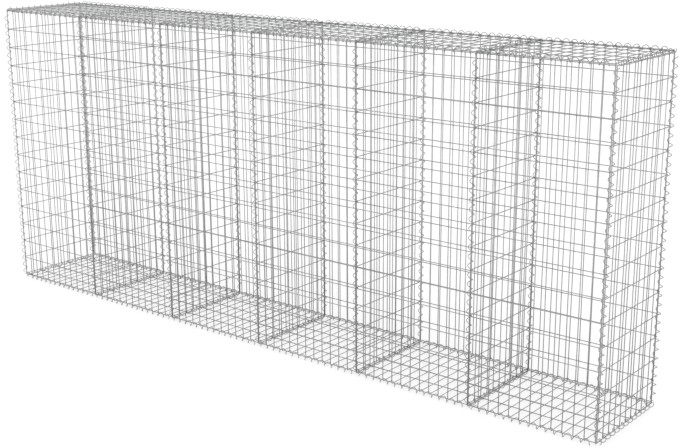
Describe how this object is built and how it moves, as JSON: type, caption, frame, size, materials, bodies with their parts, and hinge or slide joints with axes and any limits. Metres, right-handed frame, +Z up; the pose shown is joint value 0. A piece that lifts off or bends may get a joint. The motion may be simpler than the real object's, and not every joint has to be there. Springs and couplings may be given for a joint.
{
  "type": "gabion wall cage",
  "caption": "Long, narrow welded-mesh gabion cage in bays, with partitions, floor and lids, laced along every edge with coiled wire.",
  "frame": {"origin": "centre of the footprint, at the level that the lowest coils stand on", "axes": "+X along the wall, +Y from the front face to the back face, +Z up"},
  "size_m": [3.658, 0.5374, 1.5364],
  "materials": {
    "galvanised_mesh": "galvanised wire, dull grey zinc",
    "galvanised_coil": "galvanised wire, slightly brighter zinc"
  },
  "bodies": {
    "root": {"front_panel_1": "galvanised_mesh", "front_panel_2": "galvanised_mesh", "front_panel_3": "galvanised_mesh", "front_panel_4": "galvanised_mesh", "front_panel_5": "galvanised_mesh", "front_panel_6": "galvanised_mesh", "back_panel_1": "galvanised_mesh", "back_panel_2": "galvanised_mesh", "back_panel_3": "galvanised_mesh", "back_panel_4": "galvanised_mesh", "back_panel_5": "galvanised_mesh", "back_panel_6": "galvanised_mesh", "floor_panel_1": "galvanised_mesh", "floor_panel_2": "galvanised_mesh", "floor_panel_3": "galvanised_mesh", "floor_panel_4": "galvanised_mesh", "floor_panel_5": "galvanised_mesh", "floor_panel_6": "galvanised_mesh", "lid_panel_1": "galvanised_mesh", "lid_panel_2": "galvanised_mesh", "lid_panel_3": "galvanised_mesh", "lid_panel_4": "galvanised_mesh", "lid_panel_5": "galvanised_mesh", "lid_panel_6": "galvanised_mesh", "end_left": "galvanised_mesh", "partition_1": "galvanised_mesh", "partition_2": "galvanised_mesh", "partition_3": "galvanised_mesh", "partition_4": "galvanised_mesh", "partition_5": "galvanised_mesh", "end_right": "galvanised_mesh", "front_post_coils": "galvanised_coil", "back_post_coils": "galvanised_coil", "floor_front_coils": "galvanised_coil", "floor_back_coils": "galvanised_coil", "lid_front_coils": "galvanised_coil", "lid_back_coils": "galvanised_coil", "floor_cross_coils": "galvanised_coil", "lid_cross_coils": "galvanised_coil"}
  },
  "joints": []
}
